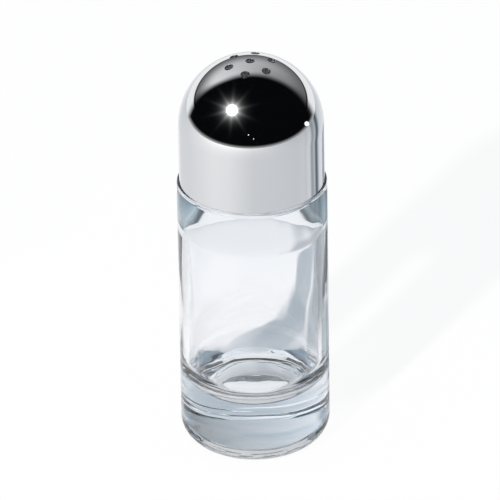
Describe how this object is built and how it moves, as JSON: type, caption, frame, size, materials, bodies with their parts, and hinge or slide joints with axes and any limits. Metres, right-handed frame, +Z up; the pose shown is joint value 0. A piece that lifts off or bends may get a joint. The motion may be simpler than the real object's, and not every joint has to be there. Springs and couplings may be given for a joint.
{
  "type": "pepper shaker",
  "caption": "Table pepper shaker: heavy-based clear glass jar with a screw-on domed polished steel cap pierced with shaking holes.",
  "frame": {"origin": "middle of the foot, on the table", "axes": "+Z up along the jar's axis; +X is the angle from which the ring of shaking holes is counted; the picture is taken from -Y"},
  "size_m": [0.037, 0.037, 0.1051],
  "materials": {
    "clear_glass": "clear, fire-polished",
    "polished_steel": "mirror-polished stainless steel",
    "liner_plastic": "natural moulded polypropylene",
    "seal_silicone": "soft translucent silicone"
  },
  "bodies": {
    "jar": {"glass_jar": "clear_glass"},
    "seal": {"neck_seal": "seal_silicone"},
    "cap": {"dome_cap": "polished_steel", "cap_liner": "liner_plastic"}
  },
  "joints": [
    {"name": "cap_rise", "type": "slide", "parent": "jar", "child": "seal", "axis": [0, 0, 1], "range_m": [0, 0.0105]},
    {"name": "cap_turn", "type": "hinge", "parent": "seal", "child": "cap", "pos_m": [0, 0, 0.0772], "axis": [0, 0, 1], "range_deg": [0, 900]}
  ],
  "couplings": [
    {"joint": "cap_rise", "follows": "cap_turn", "m_per_rad": 0.00066845}
  ]
}
